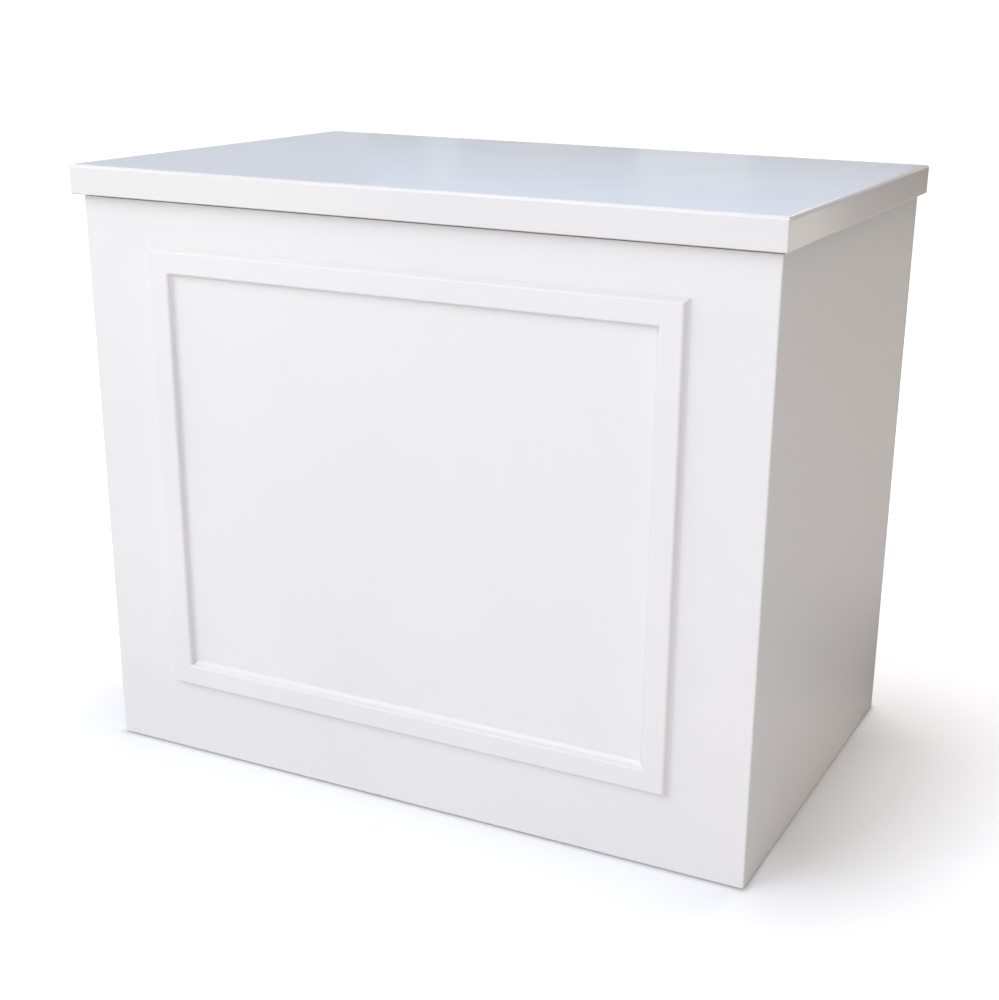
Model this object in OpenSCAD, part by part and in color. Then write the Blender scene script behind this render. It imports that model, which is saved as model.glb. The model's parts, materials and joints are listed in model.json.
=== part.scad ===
// Display plinth: a closed box of painted board under a thick slab that overhangs it all round,
// with a mitred rectangle of flat moulding on its front. Posts and rails inside carry the slab
// and the panels, and four screw feet level it.
// Millimetres. Z is up, the front faces -Y, and the origin is on the floor under the centre.

/* [Slab] */
// Height of the top surface above the floor
plinth_h = 1008; // [700:2:1200]
// Width of the slab
slab_w = 1200; // [900:10:1800]
// Depth of the slab from front to back
slab_d = 778; // [560:2:900]
// How far the slab stands out past the body at its front and back
front_overhang = 18; // [8:1:30]
// How far the slab stands out past the body at its sides
side_overhang = 11; // [6:1:30]
// Thickness of the board on top
top_board_t = 25; // [18:1:30]
// Thickness of the lippings that build up its edge
lipping_t = 22; // [16:1:30]
// Radius of the slab's upper edges
slab_edge_r = 5; // [1:0.5:8]
// Radius of the slab's lower edges
slab_under_r = 2; // [0.5:0.5:4]
// Radius of the slab's upright corners
slab_corner_r = 3; // [1:0.5:6]

/* [Body] */
// Thickness of the four panels
panel_t = 18; // [15:1:25]
// Radius of the body's upright corners
body_corner_r = 3; // [0.5:0.5:5]
// Gap between the body and the floor, with the feet at rest
floor_gap = 3; // [2:0.5:8]
// Shadow gap between the panels and the slab
slab_gap = 4; // [2:0.5:8]

/* [Moulding] */
// Face width of a strip
strip_w = 37; // [24:1:60]
// Thickness of a strip
strip_t = 12; // [9:1:18]
// Radius of a strip's front edges
strip_edge_r = 4; // [1:0.5:5]
// From the side of the body to the moulding
strip_side = 131; // [90:1:200]
// From the floor up to the moulding
strip_foot = 132; // [90:1:200]
// From the top surface down to the moulding
strip_head = 125; // [115:1:200]

/* [Frame inside] */
// Side of the square posts and rails
batten = 38; // [34:1:50]
// Height of the posts' lower ends above the lower edge of the panels
post_rise = 20; // [16:1:40]
// Thickness of the cross rail under the middle of the top board
cross_rail_t = 24; // [18:1:38]

/* [Screws] */
// Diameter of the screws in the frame
screw_d = 4.5; // [3.5:0.5:5]
// Diameter of the screws that hold the moulding
strip_screw_d = 3.5; // [3:0.5:4]
// How far a screw bites into a panel
panel_bite = 12; // [8:1:13]
// How far a screw bites into a lipping
lipping_bite = 12; // [8:1:14]
// How far a screw bites into the moulding
strip_bite = 7; // [5:1:7]
// How far a screw bites into the end of the cross rail
cross_bite = 32; // [20:1:50]
// Screws up each side of a post
post_screws = 4; // [2:1:6]

/* [Feet] */
// Diameter of the threaded stem
stem_d = 10; // [8:1:12]
// Width across the flats of the stem's collar
collar_af = 17; // [15:1:22]
// Diameter of the pad
pad_d = 32; // [28:1:33]
// Height of the pad
pad_h = 10; // [9:0.5:11]
// Outer diameter of the threaded insert
insert_d = 15.5; // [14:0.5:18]
// Length of the threaded insert in the post
insert_l = 20; // [15:1:30]
// Thickness of the insert's flange
flange_t = 1.5; // [1:0.25:2.5]
// How far a foot screws out from rest
foot_drop = 12; // [6:1:20]

/* [Hidden] */
$fn = 48;

// Sides, as signs on X and Y
LEFT = -1;
RIGHT = 1;
FRONT = -1;
BACK = 1;

// Clearances
turn_gap = 0.05;     // round a turning stem
hole_gap = 0.05;     // round a screw's shank and an insert
head_gap = 0.3;      // round a screw's sunk head
tip_gap = 1;         // past a screw's tip
stop_gap = 0.3;      // between the collar and the insert, with the foot screwed right in
seat_gap = 0.2;      // between the collar and the pad
bore_end_gap = 2;    // above the stem, with the foot screwed right in
cut_past = 1;        // how far a cut runs past a face

// Finishes
PAINT = "whitesmoke";
SOFTWOOD = "burlywood";
STEEL = "silver";
PLASTIC = "dimgray";

// The slab and the body under it
slab_t = top_board_t + lipping_t;
body_w = slab_w - 2 * side_overhang;
body_d = slab_d - 2 * front_overhang;
body_top = plinth_h - slab_t;
panel_top = body_top - slab_gap;

// Inner faces of the panels, inner faces of the posts and rails, and their centre lines
in_x = body_w / 2 - panel_t;
in_y = body_d / 2 - panel_t;
rail_x = in_x - batten;
rail_y = in_y - batten;
post_x = in_x - batten / 2;
post_y = in_y - batten / 2;
post_foot = floor_gap + post_rise;
top_rail_z = body_top - batten;

// Outside of the moulding
strip_out_w = body_w - 2 * strip_side;
strip_out_h = plinth_h - strip_head - strip_foot;

// Feet: the collar stops against the insert as the body comes down on the floor,
// and the stem still fills the insert when the foot is screwed right out
disc_d = 18;
disc_h = 3;
disc_z = 3;
collar_z = pad_h + seat_gap;
collar_top = post_foot - flange_t - floor_gap - stop_gap;
flange_d = insert_d + 5;
stem_top = post_foot + insert_l + foot_drop + 1;
stem_bore_top = stem_top + floor_gap + bore_end_gap;

// Screw heads follow the shank's diameter
function head_d(d) = 2 * d;
function head_h(d) = 0.6 * d;
function spread(n, low, high) = [for (i = [0:n - 1]) low + (high - low) * i / (n - 1)];

// Turns that point a screw, drawn along +Z, out through each side
function toward_y(side) = side == FRONT ? [90, 0, 0] : [-90, 0, 0];
function toward_x(side) = [0, 90 * side, 0];
UP = [0, 0, 0];

// Where the screws are: each spot is the place of a screw's seat and its turn.
// Screws that would cross inside a post or a rail stand apart by post_stagger or by their margins.
post_margin = 60;
post_stagger = 24;
rail_margin = 150;
slab_margin = 60;
strip_margin = 90;
cross_spacing = 18;
post_heights = spread(post_screws, post_foot + batten + post_margin, top_rail_z - post_margin - post_stagger);
rail_heights = [post_foot + batten / 2, body_top - batten / 2];
long_rail_places = spread(4, -rail_x + rail_margin, rail_x - rail_margin);
short_rail_places = spread(2, -rail_y + rail_margin, rail_y - rail_margin);
long_slab_places = spread(4, -rail_x + slab_margin, rail_x - slab_margin);
short_slab_places = spread(2, -rail_y + slab_margin, rail_y - slab_margin);

function post_spots_y(sx, sy) = [for (z = post_heights) [[sx * post_x, sy * rail_y, z], toward_y(sy)]];
function post_spots_x(sx, sy) =
    [for (z = post_heights) [[sx * rail_x, sy * post_y, z + post_stagger], toward_x(sx)]];
function rail_spots_y(sy) =
    [for (z = rail_heights, x = long_rail_places) [[x, sy * rail_y, z], toward_y(sy)]];
function rail_spots_x(sx) =
    [for (z = rail_heights, y = short_rail_places) [[sx * rail_x, y, z], toward_x(sx)]];
function slab_spots_y(sy) = [for (x = long_slab_places) [[x, sy * post_y, top_rail_z], UP]];
function slab_spots_x(sx) = [for (y = short_slab_places) [[sx * post_x, y, top_rail_z], UP]];

cross_sink = head_h(screw_d) + head_gap;
function cross_spots(sy) =
    [for (dz = spread(2, -cross_spacing / 2, cross_spacing / 2))
        [[0, sy * (in_y - cross_sink), body_top - batten / 2 + dz], toward_y(-sy)]];

strip_mid_x = strip_out_w / 2 - strip_w / 2;
strip_mid_z = [strip_foot + strip_w / 2, plinth_h - strip_head - strip_w / 2];
strip_spots = concat(
    [for (z = strip_mid_z, x = spread(4, -strip_mid_x + strip_margin, strip_mid_x - strip_margin))
        [[x, -in_y, z], toward_y(FRONT)]],
    [for (s = [LEFT, RIGHT], z = spread(3, strip_mid_z[0] + strip_margin, strip_mid_z[1] - strip_margin))
        [[s * strip_mid_x, -in_y, z], toward_y(FRONT)]]
);

// Lengths of the screws
panel_screw_l = batten + panel_bite;
slab_screw_l = batten + lipping_bite;
cross_screw_l = batten - cross_sink + cross_bite;
strip_screw_l = panel_t + strip_bite;

// ---- Shapes that repeat ----

// Rectangle that stands on the X axis, with its two upper corners rounded
module soft_top(w, h, r) {
    translate([-w / 2, 0]) square([w, h - r]);
    translate([-w / 2 + r, 0]) square([w - 2 * r, h]);
    for (s = [-1, 1]) translate([s * (w / 2 - r), h - r]) circle(r);
}

// Rectangle about the origin with lower corners of one radius and upper corners of another
module soft_rect(w, h, low_r, high_r) {
    soft_top(w, h / 2, high_r);
    mirror([0, 1]) soft_top(w, h / 2, low_r);
}

module block(x, y, z) {
    translate([x[0], y[0], z[0]]) cube([x[1] - x[0], y[1] - y[0], z[1] - z[0]]);
}

module at(spots) {
    for (s = spots) translate(s[0]) rotate(s[1]) children();
}

// Pan-head screw along +Z, with its head's seat at Z 0
module screw(d, l) {
    translate([0, 0, -head_h(d)]) cylinder(d1 = 0.7 * head_d(d), d2 = head_d(d), h = head_h(d) / 2);
    translate([0, 0, -head_h(d) / 2]) cylinder(d = head_d(d), h = head_h(d) / 2);
    cylinder(d = d, h = l - d);
    translate([0, 0, l - d]) cylinder(d1 = d, d2 = d / 8, h = d);
}

module screw_hole(d, l) {
    translate([0, 0, -cut_past]) cylinder(d = d + 2 * hole_gap, h = l + cut_past + tip_gap);
}

// Sunk seat for a screw's head, open away from the screw's tip
module head_sink(d) {
    translate([0, 0, -head_h(d) - cut_past])
        cylinder(d = head_d(d) + 2 * head_gap, h = head_h(d) + cut_past);
}

// ---- Slab ----

// The whole slab with its rounded edges, on its underside
module slab_form() {
    translate([0, 0, slab_t / 2]) intersection() {
        linear_extrude(slab_t, center = true) soft_rect(slab_w, slab_d, slab_corner_r, slab_corner_r);
        rotate([90, 0, 0]) linear_extrude(slab_d, center = true)
            soft_rect(slab_w, slab_t, slab_under_r, slab_edge_r);
        rotate([90, 0, 90]) linear_extrude(slab_w, center = true)
            soft_rect(slab_d, slab_t, slab_under_r, slab_edge_r);
    }
}

// The piece of the slab that lies in a block
module slab_piece(x, y, z) {
    intersection() {
        translate([0, 0, body_top]) slab_form();
        block(x, y, z);
    }
}

module top_board() {
    color(PAINT) slab_piece([-slab_w / 2, slab_w / 2], [-slab_d / 2, slab_d / 2],
        [body_top + lipping_t, plinth_h]);
}

// The front and back lippings run the full width
module long_lipping(sy) {
    color(PAINT) difference() {
        slab_piece([-slab_w / 2, slab_w / 2], sy == BACK ? [rail_y, slab_d / 2] : [-slab_d / 2, -rail_y],
            [body_top, body_top + lipping_t]);
        at(slab_spots_y(sy)) screw_hole(screw_d, slab_screw_l);
    }
}

module short_lipping(sx) {
    color(PAINT) difference() {
        slab_piece(sx == RIGHT ? [rail_x, slab_w / 2] : [-slab_w / 2, -rail_x], [-rail_y, rail_y],
            [body_top, body_top + lipping_t]);
        at(slab_spots_x(sx)) screw_hole(screw_d, slab_screw_l);
    }
}

// ---- Body ----

// The front and back panels cover the ends of the side panels
module wide_panel(sy) {
    difference() {
        translate([0, 0, floor_gap]) linear_extrude(panel_top - floor_gap)
            scale([1, sy]) translate([0, in_y]) soft_top(body_w, panel_t, body_corner_r);
        at(concat(post_spots_y(LEFT, sy), post_spots_y(RIGHT, sy), rail_spots_y(sy)))
            screw_hole(screw_d, panel_screw_l);
    }
}

module panel_front() {
    color(PAINT) difference() {
        wide_panel(FRONT);
        at(strip_spots) screw_hole(strip_screw_d, strip_screw_l);
    }
}

module panel_back() {
    color(PAINT) wide_panel(BACK);
}

module side_panel(sx) {
    color(PAINT) difference() {
        block(sx == RIGHT ? [in_x, body_w / 2] : [-body_w / 2, -in_x], [-in_y, in_y], [floor_gap, panel_top]);
        at(concat(post_spots_x(sx, FRONT), post_spots_x(sx, BACK), rail_spots_x(sx)))
            screw_hole(screw_d, panel_screw_l);
    }
}

// ---- Moulding ----

// One strip with mitred ends. Its outer edge lies on the X axis, it widens towards -Z,
// and it stands out towards -Y.
module strip(out_l) {
    intersection() {
        translate([0, 0, -strip_w / 2]) rotate([90, 0, 90]) linear_extrude(out_l, center = true)
            rotate(90) soft_top(strip_w, strip_t, strip_edge_r);
        rotate([90, 0, 0]) linear_extrude(strip_t)
            polygon([[-out_l / 2, 0], [out_l / 2, 0], [out_l / 2 - strip_w, -strip_w],
                [-out_l / 2 + strip_w, -strip_w]]);
    }
}

// A strip turned about Y onto its side of the rectangle, drilled from behind
module placed_strip(x, z, turn, out_l) {
    color(PAINT) difference() {
        translate([x, -body_d / 2, z]) rotate([0, turn, 0]) strip(out_l);
        at(strip_spots) screw_hole(strip_screw_d, strip_screw_l);
    }
}

module moulding_top() { placed_strip(0, plinth_h - strip_head, 0, strip_out_w); }
module moulding_bottom() { placed_strip(0, strip_foot, 180, strip_out_w); }
module moulding_left() { placed_strip(-strip_out_w / 2, strip_foot + strip_out_h / 2, -90, strip_out_h); }
module moulding_right() { placed_strip(strip_out_w / 2, strip_foot + strip_out_h / 2, 90, strip_out_h); }

// ---- Frame inside ----

module post(sx, sy) {
    color(SOFTWOOD) difference() {
        translate([sx * post_x, sy * post_y, post_foot])
            translate([-batten / 2, -batten / 2, 0]) cube([batten, batten, body_top - post_foot]);
        at(post_spots_y(sx, sy)) screw_hole(screw_d, panel_screw_l);
        at(post_spots_x(sx, sy)) screw_hole(screw_d, panel_screw_l);
        translate([sx * post_x, sy * post_y, post_foot - cut_past]) {
            cylinder(d = insert_d + 2 * hole_gap, h = insert_l + cut_past + hole_gap);
            cylinder(d = stem_d + 2, h = stem_bore_top - post_foot + cut_past);
        }
    }
}

module long_rail(sy, z) {
    block([-rail_x, rail_x], sy == BACK ? [rail_y, in_y] : [-in_y, -rail_y], [z, z + batten]);
}

module short_rail(sx, z) {
    block(sx == RIGHT ? [rail_x, in_x] : [-in_x, -rail_x], [-rail_y, rail_y], [z, z + batten]);
}

module long_top_rail(sy) {
    color(SOFTWOOD) difference() {
        long_rail(sy, top_rail_z);
        at(rail_spots_y(sy)) screw_hole(screw_d, panel_screw_l);
        at(slab_spots_y(sy)) screw_hole(screw_d, slab_screw_l);
        at(cross_spots(sy)) {
            screw_hole(screw_d, cross_screw_l);
            head_sink(screw_d);
        }
    }
}

module short_top_rail(sx) {
    color(SOFTWOOD) difference() {
        short_rail(sx, top_rail_z);
        at(rail_spots_x(sx)) screw_hole(screw_d, panel_screw_l);
        at(slab_spots_x(sx)) screw_hole(screw_d, slab_screw_l);
    }
}

module long_foot_rail(sy) {
    color(SOFTWOOD) difference() {
        long_rail(sy, post_foot);
        at(rail_spots_y(sy)) screw_hole(screw_d, panel_screw_l);
    }
}

module short_foot_rail(sx) {
    color(SOFTWOOD) difference() {
        short_rail(sx, post_foot);
        at(rail_spots_x(sx)) screw_hole(screw_d, panel_screw_l);
    }
}

// On edge between the front and back top rails, up against the top board
module cross_rail() {
    color(SOFTWOOD) difference() {
        block([-cross_rail_t / 2, cross_rail_t / 2], [-rail_y, rail_y], [top_rail_z, body_top + lipping_t]);
        at(concat(cross_spots(FRONT), cross_spots(BACK))) screw_hole(screw_d, cross_screw_l);
    }
}

// ---- Screws ----

module post_screws_group() {
    color(STEEL) for (sx = [LEFT, RIGHT], sy = [FRONT, BACK])
        at(concat(post_spots_y(sx, sy), post_spots_x(sx, sy))) screw(screw_d, panel_screw_l);
}

module rail_screws_group() {
    color(STEEL) for (s = [-1, 1]) at(concat(rail_spots_y(s), rail_spots_x(s))) screw(screw_d, panel_screw_l);
}

module slab_screws_group() {
    color(STEEL) for (s = [-1, 1]) at(concat(slab_spots_y(s), slab_spots_x(s))) screw(screw_d, slab_screw_l);
}

module cross_screws_group() {
    color(STEEL) for (sy = [FRONT, BACK]) at(cross_spots(sy)) screw(screw_d, cross_screw_l);
}

module moulding_screws_group() {
    color(STEEL) at(strip_spots) screw(strip_screw_d, strip_screw_l);
}

// ---- Feet ----

// Flanged, in the lower end of each post
module thread_inserts() {
    color(STEEL) for (sx = [LEFT, RIGHT], sy = [FRONT, BACK])
        translate([sx * post_x, sy * post_y, post_foot]) difference() {
            union() {
                translate([0, 0, -flange_t]) cylinder(d = flange_d, h = flange_t);
                cylinder(d = insert_d, h = insert_l);
            }
            translate([0, 0, -flange_t - cut_past])
                cylinder(d = stem_d + 2 * turn_gap, h = insert_l + flange_t + 2 * cut_past);
        }
}

// A low pad that the stem's disc is clipped into
module foot_pad(sx, sy) {
    pad_edge = 1;
    rim_top = disc_z + disc_h;
    color(PLASTIC) translate([sx * post_x, sy * post_y, 0]) difference() {
        union() {
            cylinder(d1 = pad_d - 2 * pad_edge, d2 = pad_d, h = pad_edge);
            translate([0, 0, pad_edge]) cylinder(d = pad_d, h = rim_top - pad_edge);
            translate([0, 0, rim_top]) cylinder(d1 = pad_d, d2 = collar_af, h = pad_h - rim_top);
        }
        translate([0, 0, disc_z - seat_gap]) cylinder(d = disc_d + 2 * head_gap, h = disc_h + 2 * seat_gap);
        translate([0, 0, disc_z]) cylinder(d = stem_d + 2 * turn_gap, h = pad_h);
    }
}

// Disc, neck, six-sided collar and threaded length, in one piece
module foot_stem(sx, sy) {
    color(STEEL) translate([sx * post_x, sy * post_y, 0]) {
        translate([0, 0, disc_z]) cylinder(d = disc_d, h = disc_h);
        translate([0, 0, disc_z]) cylinder(d = stem_d, h = stem_top - disc_z - 1);
        translate([0, 0, stem_top - 1]) cylinder(d1 = stem_d, d2 = stem_d - 2, h = 1);
        translate([0, 0, collar_z]) cylinder(d = collar_af / cos(30), h = collar_top - collar_z, $fn = 6);
    }
}

top_board();
long_lipping(FRONT);  // lipping_front
long_lipping(BACK);  // lipping_back
short_lipping(LEFT);  // lipping_left
short_lipping(RIGHT);  // lipping_right
panel_front();
panel_back();
side_panel(LEFT);  // panel_left
side_panel(RIGHT);  // panel_right
moulding_top();
moulding_bottom();
moulding_left();
moulding_right();
post(LEFT, FRONT);  // post_front_left
post(RIGHT, FRONT);  // post_front_right
post(LEFT, BACK);  // post_back_left
post(RIGHT, BACK);  // post_back_right
long_top_rail(FRONT);  // top_rail_front
long_top_rail(BACK);  // top_rail_back
short_top_rail(LEFT);  // top_rail_left
short_top_rail(RIGHT);  // top_rail_right
long_foot_rail(FRONT);  // foot_rail_front
long_foot_rail(BACK);  // foot_rail_back
short_foot_rail(LEFT);  // foot_rail_left
short_foot_rail(RIGHT);  // foot_rail_right
cross_rail();
thread_inserts();
post_screws_group();
rail_screws_group();
slab_screws_group();
cross_screws_group();
moulding_screws_group();
foot_pad(LEFT, FRONT);  // foot_pad_front_left
foot_pad(RIGHT, FRONT);  // foot_pad_front_right
foot_pad(LEFT, BACK);  // foot_pad_back_left
foot_pad(RIGHT, BACK);  // foot_pad_back_right
foot_stem(LEFT, FRONT);  // foot_stem_front_left
foot_stem(RIGHT, FRONT);  // foot_stem_front_right
foot_stem(LEFT, BACK);  // foot_stem_back_left
foot_stem(RIGHT, BACK);  // foot_stem_back_right
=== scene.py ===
"""Finish, light and camera for the display plinth. Metres, in the frame of its construction model."""
import json
import math

import bmesh
import bpy
from mathutils import Matrix, Vector


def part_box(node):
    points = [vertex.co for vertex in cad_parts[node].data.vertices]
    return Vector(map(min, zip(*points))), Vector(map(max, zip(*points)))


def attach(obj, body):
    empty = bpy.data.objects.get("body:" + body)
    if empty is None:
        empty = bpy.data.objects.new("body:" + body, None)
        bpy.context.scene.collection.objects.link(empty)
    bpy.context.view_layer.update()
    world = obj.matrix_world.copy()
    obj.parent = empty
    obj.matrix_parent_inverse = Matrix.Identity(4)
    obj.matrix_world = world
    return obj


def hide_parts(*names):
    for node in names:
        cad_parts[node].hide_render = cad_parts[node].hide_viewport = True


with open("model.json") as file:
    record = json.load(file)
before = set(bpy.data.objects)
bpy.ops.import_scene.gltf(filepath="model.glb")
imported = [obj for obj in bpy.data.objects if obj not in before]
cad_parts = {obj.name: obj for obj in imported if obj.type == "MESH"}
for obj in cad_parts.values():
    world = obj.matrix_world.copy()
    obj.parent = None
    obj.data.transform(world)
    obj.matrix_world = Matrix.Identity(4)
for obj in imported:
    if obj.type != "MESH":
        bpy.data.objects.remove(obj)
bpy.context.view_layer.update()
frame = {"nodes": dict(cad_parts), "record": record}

MM = 0.001

# ---- The sizes of the plinth, from its own pieces ----

SLAB_LOW, SLAB_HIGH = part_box("top_board")
BODY_LOW, BODY_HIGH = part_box("panel_front")
SIDE_LOW, SIDE_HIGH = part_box("panel_right")
STRIP_LOW, STRIP_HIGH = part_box("moulding_top")
SILL_LOW, SILL_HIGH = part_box("moulding_bottom")
PLINTH_TOP = SLAB_HIGH[2]
SLAB_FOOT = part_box("lipping_right")[0][2]
INSIDE_X = SIDE_LOW[0]
INSIDE_Y = SIDE_HIGH[1]
FRONT_Y = STRIP_HIGH[1]
STRIP_W = STRIP_HIGH[2] - STRIP_LOW[2]
STRIP_T = STRIP_HIGH[1] - STRIP_LOW[1]


# ---- Camera ----

CAMERA_PLACE = (1.2184, -2.4004, 1.2796)
CAMERA_TURN = 25.943      # degrees round to the right
CAMERA_DOWN = 19.204      # degrees below level
CAMERA_ROLL = 0.795
CAMERA_NEAR = 0.05
IMAGE_LONG_SIDE = 1000
FOCAL_PIXELS = 1591.7
SENSOR = 36.0
SHIFT_PIXELS = (-35.2, 45.2)


def make_camera():
    turn, down, roll = (math.radians(a) for a in (CAMERA_TURN, CAMERA_DOWN, CAMERA_ROLL))
    ahead = Vector((-math.sin(turn) * math.cos(down), math.cos(turn) * math.cos(down), -math.sin(down)))
    level = ahead.cross(Vector((0, 0, 1))).normalized()
    upright = level.cross(ahead)
    right = level * math.cos(roll) + upright * math.sin(roll)
    up = upright * math.cos(roll) - level * math.sin(roll)
    data = bpy.data.cameras.new("camera")
    data.sensor_width = SENSOR
    data.lens = FOCAL_PIXELS / IMAGE_LONG_SIDE * SENSOR
    data.shift_x = SHIFT_PIXELS[0] / IMAGE_LONG_SIDE
    data.shift_y = SHIFT_PIXELS[1] / IMAGE_LONG_SIDE
    data.clip_start = CAMERA_NEAR
    camera = bpy.data.objects.new("camera", data)
    axes = Matrix((right, up, -ahead)).transposed()
    camera.matrix_world = Matrix.Translation(CAMERA_PLACE) @ axes.to_4x4()
    bpy.context.scene.collection.objects.link(camera)
    bpy.context.scene.camera = camera


# ---- Material tools ----

class Nodes:
    """A node tree under construction, with short calls for the nodes that the finishes share."""

    def __init__(self, name):
        self.material = bpy.data.materials.new(name)
        self.material.use_nodes = True
        self.tree = self.material.node_tree
        self.tree.nodes.clear()
        self.output = self.tree.nodes.new("ShaderNodeOutputMaterial")
        self.shader = self.tree.nodes.new("ShaderNodeBsdfPrincipled")
        self.link(self.shader.outputs[0], self.output.inputs["Surface"])
        self.place = self.tree.nodes.new("ShaderNodeTexCoord").outputs["Object"]

    def link(self, source, target):
        self.tree.links.new(source, target)

    def set(self, node, values):
        for key, value in values.items():
            if isinstance(value, bpy.types.NodeSocket):
                self.link(value, node.inputs[key])
            else:
                node.inputs[key].default_value = value
        return node

    def stretched(self, scale):
        node = self.tree.nodes.new("ShaderNodeMapping")
        return self.set(node, {"Vector": self.place, "Scale": scale}).outputs[0]

    def noise(self, scale, detail=2.0, roughness=0.5, distortion=0.0, vector=None):
        node = self.tree.nodes.new("ShaderNodeTexNoise")
        values = {"Vector": vector or self.place, "Scale": scale, "Detail": detail,
                  "Roughness": roughness, "Distortion": distortion}
        return self.set(node, values).outputs["Fac"]

    def ramp(self, factor, stops):
        node = self.tree.nodes.new("ShaderNodeValToRGB")
        self.link(factor, node.inputs[0])
        while len(node.color_ramp.elements) < len(stops):
            node.color_ramp.elements.new(0.5)
        for element, (position, colour) in zip(node.color_ramp.elements, stops):
            element.position = position
            element.color = (*colour, 1)
        return node.outputs[0]

    def remap(self, value, low, high, to_low=None, to_high=None):
        """0..1 to low..high, or low..high to to_low..to_high."""
        node = self.tree.nodes.new("ShaderNodeMapRange")
        if to_low is None:
            self.set(node, {"Value": value, "To Min": low, "To Max": high})
        else:
            self.set(node, {"Value": value, "From Min": low, "From Max": high,
                            "To Min": to_low, "To Max": to_high})
        return node.outputs[0]

    def remap_between(self, value, low, high):
        return self.remap(value, low, high, 0.0, 1.0)

    def mix(self, factor, a, b):
        """Mixes two colours, each a socket or three numbers."""
        node = self.tree.nodes.new("ShaderNodeMix")
        node.data_type = "RGBA"
        for socket, value in ((node.inputs[0], factor), (node.inputs[6], a), (node.inputs[7], b)):
            if isinstance(value, bpy.types.NodeSocket):
                self.link(value, socket)
            elif isinstance(value, tuple):
                socket.default_value = (*value, 1)
            else:
                socket.default_value = value
        return node.outputs[2]

    def axis(self, number):
        node = self.tree.nodes.new("ShaderNodeSeparateXYZ")
        self.link(self.place, node.inputs[0])
        return node.outputs[number]

    def math(self, operation, a, b=0.0):
        node = self.tree.nodes.new("ShaderNodeMath")
        node.operation = operation
        self.set(node, {0: a, 1: b})
        return node.outputs[0]

    def length(self, a, b):
        """Length of the slant side over a and b."""
        squares = self.math("ADD", self.math("MULTIPLY", a, a), self.math("MULTIPLY", b, b))
        return self.math("SQRT", squares)

    def bump(self, height, depth, strength=1.0, under=None):
        node = self.tree.nodes.new("ShaderNodeBump")
        self.set(node, {"Height": height, "Distance": depth, "Strength": strength})
        if under:
            self.link(under, node.inputs["Normal"])
        return node.outputs[0]

    def finish(self, **values):
        self.set(self.shader, {key.replace("_", " "): value for key, value in values.items()})
        return self.material


# ---- Finishes ----

# colours of each finish over its clouds, fibres or rings
BODY_PAINT = [(0.35, (0.825, 0.828, 0.835)), (0.65, (0.85, 0.85, 0.853))]
# the filler beads: the body's paint made a little darker, as painted shade that dims their highlights
FILLER_PAINT = [(0.35, (0.812, 0.815, 0.822)), (0.65, (0.833, 0.833, 0.836))]
EDGE_PAINT = [(0.35, (0.81, 0.812, 0.818)), (0.65, (0.83, 0.83, 0.833))]
# the slab's face: white lacquer, made bluer than its edges partly as a painted reflection of the room
TOP_PAINT_AND_REFLECTION = [(0.35, (0.80, 0.815, 0.835)), (0.65, (0.82, 0.83, 0.845))]
ARRIS_SHADE = (0.66, 0.655, 0.65)      # painted shade on the slab's lower arris
BOARD = [(0.3, (0.47, 0.34, 0.22)), (0.7, (0.56, 0.42, 0.28))]
PINE = [(0.0, (0.66, 0.45, 0.25)), (0.7, (0.72, 0.53, 0.32)), (1.0, (0.52, 0.32, 0.15))]
PINE_FIBRES = [(0.3, (0.45, 0.28, 0.14)), (0.7, (0.78, 0.6, 0.4))]
ZINC = [(0.3, (0.6, 0.61, 0.63)), (0.7, (0.74, 0.74, 0.75))]
NYLON = [(0.3, (0.02, 0.02, 0.021)), (0.7, (0.035, 0.035, 0.036))]
# roughness of each finish, from its glossiest spots to its dullest
SATIN = (0.31, 0.39)
GLOSS = (0.13, 0.17)
EDGE_GLOSS = (0.08, 0.12)
PLANED = (0.6, 0.75)
PLATED = (0.25, 0.42)
MOULDED = (0.45, 0.6)
BARE = 0.85
LACQUER_IOR = 1.5
# how many clouds, fibres or pores a finish has in a metre
PAINT_CLOUDS, SATIN_CLOUDS, TOP_CLOUDS, GLOSS_CLOUDS = 2.2, 9, 3.1, 7
BOARD_FIBRES, ZINC_BLOOM, NYLON_CLOUDS, NYLON_PORES = 700, 160, 60, 900
# bumps of sprayed lacquer, fine peel over long waves: how many in a metre, depth, strength
LACQUER_BUMPS = [(420, 0.05 * MM, 0.25), (14, 0.6 * MM, 0.3)]
BODY_PEEL, SLAB_PEEL = 1.0, 0.4       # shares of that strength
# pine: how much finer its rings and its fibres are across the grain and along it, and how they show
RING_STRETCH, FIBRE_STRETCH = (14.0, 0.6), (900.0, 25.0)
RING_SCALE, RING_WANDER, RINGS = 2.2, 0.6, 9.0
FIBRE_TINT, FIBRE_DEPTH = 0.25, 0.1 * MM
PORE_DEPTH = 0.05 * MM
# on the slab: where its edge's colour turns into its face's, down from its top, and how far painted
# shade on its lower arris reaches up from its foot
TOP_FADE = (4.0 * MM, 0.3 * MM)
ARRIS_SHADE_FADE = (0.8 * MM, 2.2 * MM)
INSIDE_REACH = 0.3 * MM   # bare board shows this far past the inner faces


def orange_peel(n, share):
    """Bump of sprayed lacquer, by its share of the full strength."""
    under = None
    for count, depth, strength in LACQUER_BUMPS:
        under = n.bump(n.noise(count, detail=1), depth, strength * share, under=under)
    return under


def bare_board(n):
    """Fine brown fibres of unpainted fibreboard."""
    return n.ramp(n.noise(BOARD_FIBRES, detail=4, roughness=0.7), BOARD)


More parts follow.
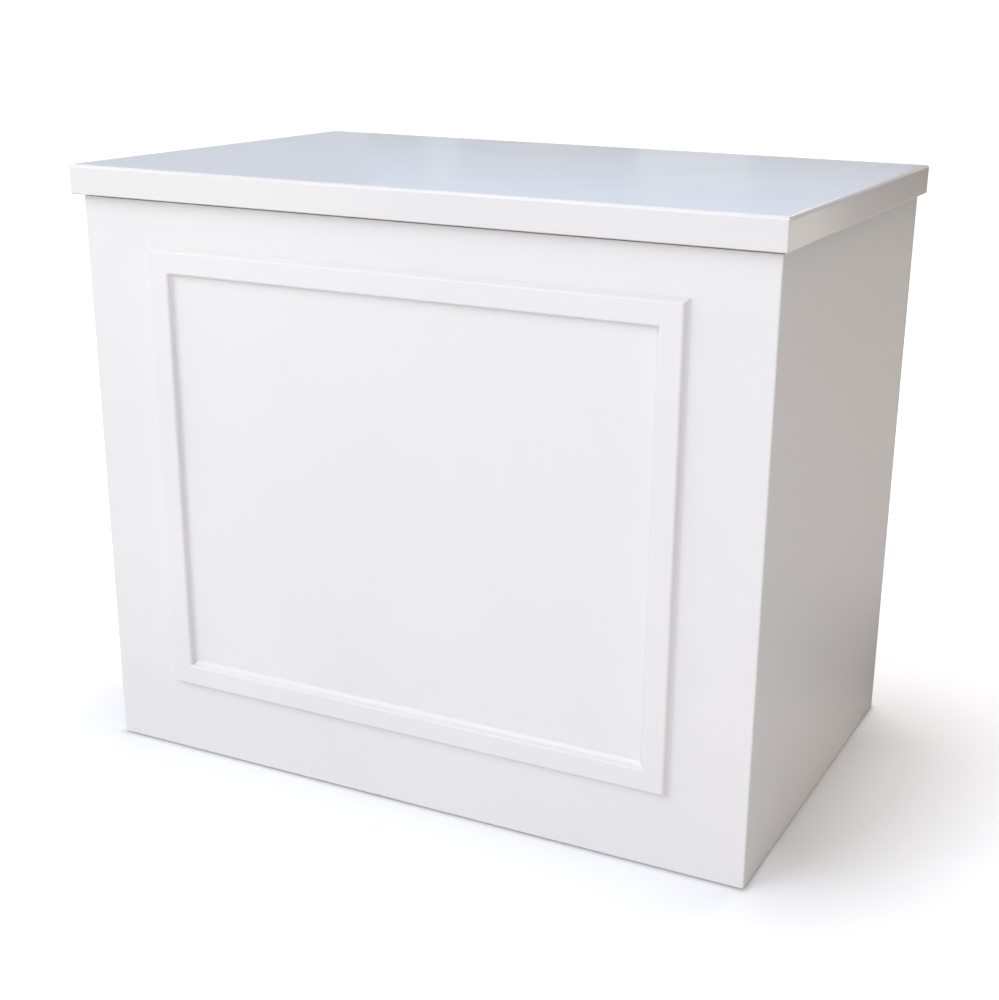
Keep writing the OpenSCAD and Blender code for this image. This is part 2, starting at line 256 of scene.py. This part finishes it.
def is_inside(n, top):
    """1 on the faces that look into the plinth, below a height, and 0 on those that were sprayed."""
    in_x = n.math("LESS_THAN", n.math("ABSOLUTE", n.axis(0)), INSIDE_X + INSIDE_REACH)
    in_y = n.math("LESS_THAN", n.math("ABSOLUTE", n.axis(1)), INSIDE_Y + INSIDE_REACH)
    below = n.math("LESS_THAN", n.axis(2), top + INSIDE_REACH)
    return n.math("MULTIPLY", n.math("MULTIPLY", in_x, in_y), below)


def body_paint(name, colours):
    """Satin white lacquer outside, bare fibreboard inside."""
    n = Nodes(name)
    paint = n.ramp(n.noise(PAINT_CLOUDS, detail=3), colours)
    inside = is_inside(n, PLINTH_TOP)
    sheen = n.remap(n.noise(SATIN_CLOUDS, detail=4), *SATIN)
    rough = n.math("MAXIMUM", sheen, n.math("MULTIPLY", inside, BARE))
    return n.finish(Base_Color=n.mix(inside, paint, bare_board(n)), Roughness=rough,
                    Normal=orange_peel(n, BODY_PEEL), IOR=LACQUER_IOR)


def slab_paint(name):
    """Gloss white lacquer, a little bluer on the slab's face than round its edges, that blue partly a
    painted reflection of the room, bare board inside.
    """
    n = Nodes(name)
    face = n.remap_between(n.axis(2), PLINTH_TOP - TOP_FADE[0], PLINTH_TOP - TOP_FADE[1])
    # painted shade: the slab's lower arris turns darker over its last few millimetres
    low = n.remap(n.axis(2), SLAB_FOOT + ARRIS_SHADE_FADE[0], SLAB_FOOT + ARRIS_SHADE_FADE[1], 1.0, 0.0)
    edge = n.mix(low, n.ramp(n.noise(PAINT_CLOUDS, detail=3), EDGE_PAINT), ARRIS_SHADE)
    top = n.ramp(n.noise(TOP_CLOUDS, detail=2), TOP_PAINT_AND_REFLECTION)
    inside = is_inside(n, SLAB_LOW[2])
    gloss = n.remap(n.noise(GLOSS_CLOUDS, detail=3), *GLOSS)
    edge_gloss = n.remap(n.noise(SATIN_CLOUDS, detail=4), *EDGE_GLOSS)
    rough = n.math("MAXIMUM", n.remap(face, 0, 1, edge_gloss, gloss), n.math("MULTIPLY", inside, BARE))
    return n.finish(Base_Color=n.mix(inside, n.mix(face, edge, top), bare_board(n)), Roughness=rough,
                    Normal=orange_peel(n, SLAB_PEEL), IOR=LACQUER_IOR)


def softwood(name, axis):
    """Planed pine with its grain along one axis."""
    n = Nodes(name)
    grain, fibre = [RING_STRETCH[0]] * 3, [FIBRE_STRETCH[0]] * 3
    grain[axis], fibre[axis] = RING_STRETCH[1], FIBRE_STRETCH[1]
    rings = n.noise(RING_SCALE, detail=3, distortion=RING_WANDER, vector=n.stretched(grain))
    stripes = n.math("FRACT", n.math("MULTIPLY", rings, RINGS))
    fibres = n.noise(1.0, detail=2, vector=n.stretched(fibre))
    tint = n.mix(FIBRE_TINT, n.ramp(stripes, PINE), n.ramp(fibres, PINE_FIBRES))
    return n.finish(Base_Color=tint, Roughness=n.remap(fibres, *PLANED),
                    Normal=n.bump(fibres, FIBRE_DEPTH, 0.5))


def zinc_plate(name):
    n = Nodes(name)
    bloom = n.noise(ZINC_BLOOM, detail=3)
    return n.finish(Base_Color=n.ramp(bloom, ZINC), Metallic=1.0, Roughness=n.remap(bloom, *PLATED))


def black_nylon(name):
    n = Nodes(name)
    pores = n.noise(NYLON_PORES, detail=2)
    return n.finish(Base_Color=n.ramp(n.noise(NYLON_CLOUDS), NYLON), Roughness=n.remap(pores, *MOULDED),
                    Normal=n.bump(pores, PORE_DEPTH, 0.5))


# which way the grain runs, by the start of a piece's name; the first that fits holds
AXES = {"post_": 2, "top_rail_front": 0, "top_rail_back": 0, "foot_rail_front": 0, "foot_rail_back": 0,
        "top_rail_": 1, "foot_rail_": 1, "cross_rail": 1}


def dress_nodes():
    """Gives every construction piece its finish, by the material slot that its record names."""
    paint = body_paint("satin_white_paint", BODY_PAINT)
    slab = slab_paint("slab_lacquer")
    wood = [softwood("pine_across", 0), softwood("pine_through", 1), softwood("pine_upright", 2)]
    finishes = {"white_paint": paint, "top_gloss_paint": slab, "zinc_steel": zinc_plate("zinc_plate"),
                "black_nylon": black_nylon("black_nylon")}
    for part in frame["record"]["subparts"]:
        node, slot = part["node"], part["material_slot"]
        if slot == "softwood":
            axis = next(a for start, a in AXES.items() if node.startswith(start))
            material = wood[axis]
        elif node.startswith("lipping"):
            material = slab
        else:
            material = finishes[slot]
        piece = frame["nodes"][node]
        for material_slot in piece.material_slots:
            material_slot.material = material


# ---- Filler round the moulding ----

# Each bead of filler: how far it runs out over the panel, how far it climbs the side of a strip, and how
# hollow it is, from 0 for flat to 1 for a full hollow round, and below 0 where it swells. They run below,
# to the right, above and to the left, and are fuller where the filler could sit.
OUTER_BEADS = [(3.5 * MM, 4.0 * MM, 1.0), (5.5 * MM, 7.0 * MM, 0.7), (4.8 * MM, 10.8 * MM, -0.3),
               (5.5 * MM, 6.0 * MM, 1.0)]
INNER_BEADS = [(8.0 * MM, 8.0 * MM, 0.4), (6.0 * MM, 6.5 * MM, 1.0), (2.0 * MM, 2.5 * MM, 1.0),
               (3.0 * MM, 3.5 * MM, 1.0)]
BEAD_STEPS = 8
BEAD_SINK = 0.2 * MM      # how far a bead's hidden sides lie inside the strip and the panel
BEAD_CREASE = 40          # degrees
ARRIS_R = 4.0 * MM        # of the moulding


def bead_profile(reach, rise, hollow):
    """Section of a bead, closed into the corner: distance out over the panel, and height above it.

    A bead that climbs past the flat side of the strip ends on the strip's rounded arris."""
    past = max(0.0, rise - (STRIP_T - ARRIS_R))
    lap = ARRIS_R - math.sqrt(ARRIS_R ** 2 - past ** 2)
    points = []
    for i in range(BEAD_STEPS + 1):
        share, angle = i / BEAD_STEPS, math.pi / 2 * i / BEAD_STEPS
        out = hollow * (1 - math.sin(angle)) + (1 - hollow) * (1 - share)
        up = hollow * (1 - math.cos(angle)) + (1 - hollow) * share
        points.append(((reach + lap) * out - lap, rise * up))
    inner = -lap - BEAD_SINK
    return points + [(inner, rise), (inner, -BEAD_SINK), (reach, -BEAD_SINK)]


def beads_round(name, beads, paint, half_w, low, high, away):
    """Mitred beads along a rectangle on the front panel; away is 1 outside the rectangle and -1 inside."""
    corners = [(-1, -1), (1, -1), (1, 1), (-1, 1)]
    points, faces = [], []
    for side, bead in enumerate(beads):
        start = len(points)
        rows = bead_profile(*bead)
        for out, up in rows:
            for i in (side, (side + 1) % 4):
                x, z = corners[i]
                level = high + away * out if z > 0 else low - away * out
                points.append((x * (half_w + away * out), FRONT_Y - up, level))
        count = len(rows)
        for r in range(count):
            s = (r + 1) % count
            faces.append([start + 2 * r, start + 2 * r + 1, start + 2 * s + 1, start + 2 * s])
        faces.append([start + 2 * r for r in range(count)])
        faces.append([start + 2 * r + 1 for r in range(count)])
    mesh = bpy.data.meshes.new(name)
    mesh.from_pydata(points, [], faces)
    shell = bmesh.new()
    shell.from_mesh(mesh)
    bmesh.ops.recalc_face_normals(shell, faces=shell.faces)
    for face in shell.faces:
        face.smooth = True
    shell.to_mesh(mesh)
    shell.free()
    mesh.set_sharp_from_angle(angle=math.radians(BEAD_CREASE))
    piece = bpy.data.objects.new(name, mesh)
    bpy.context.scene.collection.objects.link(piece)
    mesh.materials.append(paint)
    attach(piece, "root")


def make_filler():
    half_w = STRIP_HIGH[0]
    # a darker copy of the body's paint for the beads: painted shade on their highlights
    paint = body_paint("filler_paint", FILLER_PAINT)
    beads_round("filler_outside", OUTER_BEADS, paint, half_w, SILL_LOW[2], STRIP_HIGH[2], 1)
    beads_round("filler_inside", INNER_BEADS, paint, half_w - STRIP_W, SILL_HIGH[2], STRIP_LOW[2], -1)


# ---- Screws and threaded stems ----

METAL_CREASE = 35         # degrees


class Steps:
    """A Geometry Nodes tree under construction, with named inputs for its sizes."""

    def __init__(self, name, inputs):
        self.tree = bpy.data.node_groups.new(name, "GeometryNodeTree")
        face = self.tree.interface
        face.new_socket("Geometry", in_out="INPUT", socket_type="NodeSocketGeometry")
        face.new_socket("Geometry", in_out="OUTPUT", socket_type="NodeSocketGeometry")
        self.keys = {}
        for label, kind in inputs.items():
            socket = face.new_socket(label, in_out="INPUT", socket_type="NodeSocket" + kind)
            self.keys[label] = socket.identifier
        self.given = self.tree.nodes.new("NodeGroupInput").outputs
        self.result = self.tree.nodes.new("NodeGroupOutput").inputs[0]

    def add(self, kind, values=None, out=0, **settings):
        """Adds a node, sets its properties and inputs, and gives the output asked for."""
        node = self.tree.nodes.new(kind)
        for key, value in settings.items():
            setattr(node, key, value)
        for key, value in (values or {}).items():
            for source in value if isinstance(value, list) else [value]:
                if isinstance(source, bpy.types.NodeSocket):
                    self.tree.links.new(source, node.inputs[key])
                else:
                    node.inputs[key].default_value = source
        return node.outputs[out]

    def math(self, operation, a, b=0.0):
        return self.add("ShaderNodeMath", {0: a, 1: b}, operation=operation)

    def xyz(self, x=0.0, y=0.0, z=0.0):
        return self.add("ShaderNodeCombineXYZ", {0: x, 1: y, 2: z})

    def drum(self, facets, rows, radius, low, high):
        """Closed cylinder on the Z axis between two heights."""
        drum = self.add("GeometryNodeMeshCylinder",
                        {"Vertices": facets, "Side Segments": rows, "Radius": radius,
                         "Depth": self.math("SUBTRACT", high, low)}, fill_type="NGON")
        middle = self.math("MULTIPLY", self.math("ADD", low, high), 0.5)
        return self.add("GeometryNodeTransform", {"Geometry": drum, "Translation": self.xyz(z=middle)})

    def turned(self, drum, low, high, shape):
        """Narrows a drum along its height: shape gives (share of the height, share of the radius)."""
        place = self.add("GeometryNodeInputPosition")
        parts = self.tree.nodes.new("ShaderNodeSeparateXYZ")
        self.tree.links.new(place, parts.inputs[0])
        share = self.add("ShaderNodeMapRange",
                         {"Value": parts.outputs[2], "From Min": low, "From Max": high})
        curve = self.tree.nodes.new("ShaderNodeFloatCurve")
        self.tree.links.new(share, curve.inputs["Value"])
        line = curve.mapping.curves[0]
        while len(line.points) < len(shape):
            line.points.new(0.5, 0.5)
        for point, (along, width) in zip(line.points, shape):
            point.location = (along, width)
            point.handle_type = "VECTOR"
        curve.mapping.update()
        return self.spread(drum, curve.outputs[0], parts.outputs)

    def spread(self, drum, factor, parts):
        """Moves each point of a drum in or out from the Z axis by a factor."""
        x, y = (self.math("MULTIPLY", parts[i], factor) for i in (0, 1))
        return self.add("GeometryNodeSetPosition", {"Geometry": drum, "Position": self.xyz(x, y, parts[2])})

    def join(self, solids):
        return self.add("GeometryNodeMeshBoolean", {"Mesh": solids}, operation="UNION")

    def place(self, solid, seed=None):
        """Stands a solid on each point, its Z axis along the point's "into" vector, and dresses it."""
        into = self.add("GeometryNodeInputNamedAttribute", {"Name": "into"}, data_type="FLOAT_VECTOR")
        turn = self.add("FunctionNodeAlignRotationToVector", {"Vector": into}, axis="Z")
        if seed is not None:
            any_turn = self.add("FunctionNodeRandomValue", {2: 0.0, 3: math.pi, "Seed": seed}, out=1)
            own = self.add("FunctionNodeEulerToRotation", {"Euler": self.xyz(z=any_turn)})
            turn = self.add("FunctionNodeRotateRotation", {"Rotation": turn, "Rotate By": own},
                            rotation_space="LOCAL")
        stood = self.add("GeometryNodeInstanceOnPoints",
                         {"Points": self.given["Geometry"], "Instance": solid, "Rotation": turn})
        real = self.add("GeometryNodeRealizeInstances", {"Geometry": stood})
        dressed = self.add("GeometryNodeSetMaterial", {"Geometry": real, "Material": self.given["Finish"]})
        self.tree.links.new(dressed, self.result)


def grow(steps, name, spots, values):
    """Runs a tree on spots of (place, direction) and gives one plain piece at the origin."""
    seeds = bpy.data.meshes.new(name + "_spots")
    seeds.from_pydata([place for place, into in spots], [], [])
    into = seeds.attributes.new("into", "FLOAT_VECTOR", "POINT")
    for entry, (place, direction) in zip(into.data, spots):
        entry.vector = direction
    piece = bpy.data.objects.new(name, seeds)
    bpy.context.scene.collection.objects.link(piece)
    modifier = piece.modifiers.new("grow", "NODES")
    modifier.node_group = steps.tree
    for label, value in values.items():
        modifier[steps.keys[label]] = value
    depsgraph = bpy.context.evaluated_depsgraph_get()
    mesh = bpy.data.meshes.new_from_object(piece.evaluated_get(depsgraph))
    piece.modifiers.clear()
    piece.data = mesh
    bpy.data.meshes.remove(seeds)
    mesh.name = name
    for face in mesh.polygons:
        face.use_smooth = True
    mesh.set_sharp_from_angle(angle=math.radians(METAL_CREASE))
    return piece


# shape of a head and of a shank: share of the height, share of the radius
PAN_HEAD = [(0.0, 0.55), (0.2, 0.8), (0.4, 0.93), (0.6, 0.985), (0.8, 1.0), (1.0, 1.0)]
SCREW_POINT = [(0.0, 0.9), (0.9, 0.9), (1.0, 0.12)]
# shares of a head's width: the head's height, the width and slot of its recess, and the shank's width
HEAD_TALL, RECESS_WIDE, RECESS_SLOT, SHANK_WIDE = 0.3, 0.56, 0.17, 0.5
# shares of a head's height: the cutter of the recess, half of it above the head, and the shank in the head
RECESS_DEEP, SHANK_LAP = 1.1, 0.25
HEAD_FACETS, HEAD_ROWS = 24, 5
SHANK_FACETS, SHANK_ROWS = 12, 10
WELD = 0.001 * MM         # points nearer to each other than this are one
RIM = 0.45                # points further out than this share of a head's width are on its rim


def screw_steps():
    """Pan-head screw along +Z with its head's seat at 0 and a cross recess in its head."""
    s = Steps("pan_head_screw", {"Head width": "Float", "Head height": "Float", "Shank": "Float",
                                 "Length": "Float", "Slot": "Float", "Seed": "Int", "Finish": "Material"})
    g = s.given
    top = s.math("MULTIPLY", g["Head height"], -1.0)
    head = s.drum(HEAD_FACETS, HEAD_ROWS, s.math("MULTIPLY", g["Head width"], 0.5), top, 0.0)
    head = s.turned(head, top, 0.0, PAN_HEAD)
    deep = s.math("MULTIPLY", g["Head height"], RECESS_DEEP)
    across = s.math("MULTIPLY", g["Head width"], RECESS_WIDE)
    bars = []
    for size in (s.xyz(across, g["Slot"], deep), s.xyz(g["Slot"], across, deep)):
        bar = s.add("GeometryNodeMeshCube", {"Size": size})
        bars.append(s.add("GeometryNodeTransform", {"Geometry": bar, "Translation": s.xyz(z=top)}))
    cut = s.add("GeometryNodeMeshBoolean", {"Mesh 1": head, "Mesh 2": bars}, operation="DIFFERENCE")
    start = s.math("MULTIPLY", g["Head height"], -SHANK_LAP)
    shank = s.drum(SHANK_FACETS, SHANK_ROWS, s.math("MULTIPLY", g["Shank"], 0.5), start, g["Length"])
    shank = s.turned(shank, start, g["Length"], SCREW_POINT)
    s.place(s.join([cut, shank]), seed=g["Seed"])
    return s


def solids_of(shell):
    """The points of each separate solid, in the mesh's own order, so that every run gives the same."""
    used = set()
    for first in shell.verts:
        if first in used:
            continue
        used.add(first)
        solid = [first]
        for vert in solid:        # grows while it is read
            near = [edge.other_vert(vert) for edge in vert.link_edges]
            near = [other for other in near if other not in used]
            used.update(near)
            solid += near
        yield solid


def screw_spots(node):
    """A group's screws: where each stands and which way it goes, and their head's width and their length."""
    shell = bmesh.new()
    shell.from_mesh(frame["nodes"][node].data)
    bmesh.ops.remove_doubles(shell, verts=shell.verts, dist=WELD)
    spots = []
    for solid in solids_of(shell):
        low = Vector([min(v.co[i] for v in solid) for i in range(3)])
        high = Vector([max(v.co[i] for v in solid) for i in range(3)])
        spans, middle = high - low, (low + high) / 2
        along = max(range(3), key=lambda i: spans[i])
        width = min(spans)
        rim = []
        for vert in solid:
            away = vert.co - middle
            away[along] = 0
            if away.length > RIM * width:
                rim.append(vert.co[along])
        side = 1 if sum(rim) / len(rim) < middle[along] else -1
        seat = middle.copy()
        seat[along] = (low[along] if side > 0 else high[along]) + side * HEAD_TALL * width
        into = Vector((0, 0, 0))
        into[along] = side
        spots.append((seat, into))
    shell.free()
    return spots, width, spans[along] - HEAD_TALL * width


def make_screws():
    steps = screw_steps()
    for seed, group in enumerate(("post", "rail", "slab", "cross", "moulding")):
        node = group + "_screws_group"
        spots, width, length = screw_spots(node)
        piece = grow(steps, group + "_screws", spots,
                     {"Head width": width, "Head height": HEAD_TALL * width, "Shank": SHANK_WIDE * width,
                      "Length": length, "Slot": RECESS_SLOT * width, "Seed": seed,
                      "Finish": bpy.data.materials["zinc_plate"]})
        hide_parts(node)
        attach(piece, "root")


STEM_R = 5.0 * MM
STEM_FACETS = 28
STEM_LAP = 0.4            # share of the collar's height that the threaded rod reaches down
NECK_STEP = 0.3 * MM      # the neck is this much thinner than the rod, all round
NECK_LAP = 1.0 * MM       # how far the neck reaches up into the rod
THREAD_DEEP = 0.9 * MM
THREAD_PITCH = 1.5 * MM
THREAD_ROWS = 6           # rows of points for each turn of the thread
THREAD_SLOPE = 1.25       # over 1, so that the bottom of the groove is flat
LEAD_IN = 1.0 * MM        # the thread runs out over this length at the top
DISC_R, DISC_RISE = 9.0 * MM, 3.0 * MM
DISC_FACETS, DISC_ROWS = 40, 3
DISC_EDGE = [(0.0, 0.96), (0.34, 1.0), (0.66, 1.0), (1.0, 0.96)]
COLLAR_FLATS = 17.0 * MM
COLLAR_LOW, COLLAR_RISE = 7.2 * MM, 8.0 * MM      # over the underside of the disc


def stem_steps():
    """Stem of a screw foot along +Z: disc, neck, six-sided collar and a right-hand thread."""
    s = Steps("screw_foot_stem",
              {"Radius": "Float", "Thread deep": "Float", "Pitch": "Float", "Rows": "Int",
               "Height": "Float", "Disc radius": "Float", "Disc rise": "Float",
               "Collar flats": "Float", "Collar low": "Float", "Collar rise": "Float",
               "Finish": "Material"})
    g = s.given
    collar_high = s.math("ADD", g["Collar low"], g["Collar rise"])
    start = s.math("SUBTRACT", collar_high, s.math("MULTIPLY", g["Collar rise"], STEM_LAP))
    rod = s.drum(STEM_FACETS, g["Rows"], g["Radius"], start, g["Height"])
    place = s.add("GeometryNodeInputPosition")
    parts = s.tree.nodes.new("ShaderNodeSeparateXYZ")
    s.tree.links.new(place, parts.inputs[0])
    x, y, z = parts.outputs
    turn = s.math("DIVIDE", s.math("ARCTAN2", y, x), 2 * math.pi)
    phase = s.math("FRACT", s.math("SUBTRACT", s.math("DIVIDE", z, g["Pitch"]), turn))
    flank = s.math("ABSOLUTE", s.math("SUBTRACT", s.math("MULTIPLY", phase, 2.0), 1.0))
    groove = s.math("MINIMUM", s.math("MULTIPLY", flank, THREAD_SLOPE), 1.0)
    lead_in = s.math("SUBTRACT", 1.0, s.math("DIVIDE", s.math("SUBTRACT", g["Height"], z), LEAD_IN))
    groove = s.math("MAXIMUM", groove, s.math("MINIMUM", s.math("MAXIMUM", lead_in, 0.0), 1.0))
    cut = s.math("DIVIDE", s.math("MULTIPLY", groove, g["Thread deep"]), g["Radius"])
    rod = s.spread(rod, s.math("SUBTRACT", 1.0, cut), parts.outputs)
    neck = s.drum(STEM_FACETS, 1, s.math("SUBTRACT", g["Radius"], NECK_STEP),
                  s.math("MULTIPLY", g["Disc rise"], 0.5), s.math("ADD", start, NECK_LAP))
    collar_r = s.math("MULTIPLY", g["Collar flats"], 0.5 / math.cos(math.pi / 6))
    collar = s.drum(6, 1, collar_r, g["Collar low"], collar_high)
    disc = s.drum(DISC_FACETS, DISC_ROWS, g["Disc radius"], 0.0, g["Disc rise"])
    disc = s.turned(disc, 0.0, g["Disc rise"], DISC_EDGE)
    s.place(s.join([rod, neck, collar, disc]))
    return s


def make_stems():
    steps = stem_steps()
    for corner in ("front_left", "front_right", "back_left", "back_right"):
        low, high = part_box("foot_stem_" + corner)
        foot = Vector(((low[0] + high[0]) / 2, (low[1] + high[1]) / 2, low[2]))
        rows = round((high[2] - low[2] - COLLAR_LOW) / THREAD_PITCH * THREAD_ROWS)
        piece = grow(steps, "threaded_stem_" + corner, [(foot, (0, 0, 1))],
                     {"Radius": STEM_R, "Thread deep": THREAD_DEEP, "Pitch": THREAD_PITCH, "Rows": rows,
                      "Height": high[2] - low[2], "Disc radius": DISC_R, "Disc rise": DISC_RISE,
                      "Collar flats": COLLAR_FLATS, "Collar low": COLLAR_LOW, "Collar rise": COLLAR_RISE,
                      "Finish": bpy.data.materials["zinc_plate"]})
        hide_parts("foot_stem_" + corner)
        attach(piece, "stem_" + corner)


# ---- Studio ----

FLOOR_SIZE = 120.0
PAPER = [(0.3, (0.80, 0.80, 0.80)), (0.7, (0.81, 0.81, 0.81))]
PAPER_CLOUDS = 3.0
PAPER_ROUGH = 0.9
# the glow's rise away from the plinth paints much of the soft shadow beside it and the dark line along its
# foot
# metres from the strip of floor under the middle of the plinth, and how much the paper glows there
FLOOR_GLOW = [(0.0, (0.0, 0.0, 0.0)), (0.01, (0.03, 0.038, 0.053)), (0.18, (0.19, 0.213, 0.246)),
              (0.3, (0.305, 0.331, 0.37)), (0.45, (0.385, 0.42, 0.465)), (2.4, (1.0, 1.0, 1.0))]
SHADOW_HALF = 0.2         # how far before and behind the middle the shadow beside the plinth stays full
UNDER_FADE = 15.0         # the glow comes up this many times as fast where the paper leaves the footprint
# the plinth's shade on the paper behind it, as its side mirrors it: where it comes in, going back, where it
# ends there, where it ends to each side, and its colour
SHADE_START, SHADE_END, SHADE_SIDE = (0.25, 0.5), (0.8, 1.1), (0.66, 0.88)
SHADE_PAPER = (0.2, 0.2, 0.2)

# each lamp's name, place, the point it is aimed at, width, height, watts and colour
SOFTBOXES = [
    ("key_high", (-1.8, -3.4, 4.2), (0, 0, 0.6), 2.4, 2.4, 73, (0.98, 0.99, 1.0)),
    ("key_low", (-3.6, -4.2, 2.6), (0, 0, 0.6), 2.0, 2.0, 30, (0.96, 0.95, 1.0)),
    ("left_far", (-4.2, -1.8, 3.4), (0, 0, 0.6), 2.4, 2.4, 52, (0.92, 0.85, 1.0)),
    ("low_fill", (-3.6, -4.0, 0.9), (0, 0, 0.5), 2.2, 1.4, 8.4, (0.9, 1.0, 0.58)),
    ("front_middle", (-0.6, -4.8, 3.2), (0, 0, 0.6), 2.4, 2.0, 21, (0.83, 0.9, 1.0)),
    ("front_right_high", (2.0, -4.6, 2.8), (0, 0, 0.6), 2.0, 2.0, 46, (0.97, 0.97, 1.0)),
    ("front_right", (2.8, -4.2, 1.8), (0.3, 0, 0.5), 2.0, 2.0, 37, (1.0, 0.96, 0.94)),
    ("overhead", (0, 0, 4.6), (0, 0, 0), 4.0, 4.0, 31, (0.82, 0.79, 1.0)),
    ("over_back", (0, 1.8, 4.2), (0, 0.4, 0.8), 4.0, 2.0, 41, (1.0, 0.93, 0.89)),
    ("back_high", (-2.8, 5.2, 3.6), (-0.3, 0, 1.0), 6.5, 1.8, 91, (0.97, 0.94, 1.0)),
    ("back_card_left", (-4.72, 5.0, 1.7), (-4.72, 0, 1.7), 2.65, 1.4, 5.1, (0.49, 0.72, 1.0)),
    ("back_card_right", (-1.95, 5.0, 2.06), (-1.95, 0, 2.06), 2.9, 1.08, 6.8, (0.49, 0.72, 1.0)),
    ("back_strip", (-1.56, 5.0, 1.9), (-1.56, 0, 1.9), 0.58, 1.0, 0.8, (0.96, 1.0, 0.95)),
    ("back_strip_right", (-0.83, 5.0, 1.9), (-0.83, 0, 1.9), 0.88, 0.9, 0.3, (0.9, 0.95, 1.0)),
    ("back_thin_strip", (-2.95, 5.0, 1.9), (-2.95, 0, 1.9), 0.2, 1.0, 0.22, (0.96, 1.0, 0.95)),
    ("floor_wash", (1.5, 4.5, 5.5), (1.5, 4.5, 0), 4.0, 4.0, 115, (1.0, 0.81, 0.5)),
    ("side_card", (2.36, 5.0, 0.26), (0.6, 0, 0.98), 0.58, 0.5, 0.62, (1.0, 0.98, 0.96)),
    ("arris_card", (1.45, 5.0, 1.8), (1.45, 0, 1.8), 1.5, 1.4, 2.5, (1.0, 0.98, 0.96)),
]
ROOM_LIGHT = (0.146, 0.14, 0.134)


def make_softbox(name, place, aim, width, height, watts, colour):
    data = bpy.data.lights.new(name, "AREA")
    data.shape = "RECTANGLE"
    data.size, data.size_y = width, height
    data.energy, data.color = watts, colour
    lamp = bpy.data.objects.new(name, data)
    lamp.location = place
    lamp.rotation_euler = (Vector(aim) - Vector(place)).to_track_quat("-Z", "Y").to_euler()
    lamp.visible_camera = False
    bpy.context.scene.collection.objects.link(lamp)


def white_paper():
    """Floor paper that glows white away from the plinth, so that only the soft shadow beside it shows, a
    shadow partly painted by where the glow rises.

    Behind the plinth it is darker, but only as the plinth mirrors it."""
    n = Nodes("white_paper")
    grain = n.ramp(n.noise(PAPER_CLOUDS), PAPER)
    seen = n.tree.nodes.new("ShaderNodeLightPath").outputs["Is Camera Ray"]
    x, y = n.math("ABSOLUTE", n.axis(0)), n.axis(1)
    behind = n.math("MULTIPLY", n.remap_between(y, *SHADE_START), n.remap(y, *SHADE_END, 1.0, 0.0))
    behind = n.math("MULTIPLY", behind, n.remap(x, *SHADE_SIDE, 1.0, 0.0))
    shade = n.math("MULTIPLY", behind, n.math("SUBTRACT", 1.0, seen))
    n.finish(Base_Color=n.mix(shade, grain, SHADE_PAPER), Roughness=PAPER_ROUGH,
             Specular_IOR_Level=0.0)
    beside = n.math("MAXIMUM", n.math("SUBTRACT", x, BODY_HIGH[0]))
    deep = n.math("ABSOLUTE", y)
    away = n.length(beside, n.math("MAXIMUM", n.math("SUBTRACT", deep, SHADOW_HALF)))
    out = n.length(beside, n.math("MAXIMUM", n.math("SUBTRACT", deep, -BODY_LOW[1])))
    away = n.math("MINIMUM", away, n.math("MULTIPLY", out, UNDER_FADE))
    reach = FLOOR_GLOW[-1][0]
    stops = [(distance / reach, shine) for distance, shine in FLOOR_GLOW]
    glow = n.tree.nodes.new("ShaderNodeEmission")
    n.set(glow, {"Color": n.ramp(n.math("DIVIDE", away, reach), stops), "Strength": seen})
    both = n.tree.nodes.new("ShaderNodeAddShader")
    n.link(n.shader.outputs[0], both.inputs[0])
    n.link(glow.outputs[0], both.inputs[1])
    n.link(both.outputs[0], n.output.inputs["Surface"])
    return n.material


def make_floor():
    mesh = bpy.data.meshes.new("floor")
    h = FLOOR_SIZE / 2
    mesh.from_pydata([(-h, -h, 0), (h, -h, 0), (h, h, 0), (-h, h, 0)], [], [(0, 1, 2, 3)])
    floor = bpy.data.objects.new("floor", mesh)
    bpy.context.scene.collection.objects.link(floor)
    mesh.materials.append(white_paper())


def make_room():
    """The room's soft light, and clean white where the camera looks past the floor."""
    world = bpy.data.worlds.new("room")
    bpy.context.scene.world = world
    world.use_nodes = True
    tree = world.node_tree
    tree.nodes.clear()
    output = tree.nodes.new("ShaderNodeOutputWorld")
    room = tree.nodes.new("ShaderNodeBackground")
    room.inputs[0].default_value = (*ROOM_LIGHT, 1)
    white = tree.nodes.new("ShaderNodeBackground")
    white.inputs[0].default_value = (1, 1, 1, 1)
    path = tree.nodes.new("ShaderNodeLightPath")
    mix = tree.nodes.new("ShaderNodeMixShader")
    tree.links.new(path.outputs["Is Camera Ray"], mix.inputs[0])
    tree.links.new(room.outputs[0], mix.inputs[1])
    tree.links.new(white.outputs[0], mix.inputs[2])
    tree.links.new(mix.outputs[0], output.inputs["Surface"])


def make_studio():
    make_room()
    make_floor()
    for softbox in SOFTBOXES:
        make_softbox(*softbox)
    bpy.context.scene.view_settings.view_transform = "Standard"


make_camera()
dress_nodes()
make_filler()
make_screws()
make_stems()
make_studio()
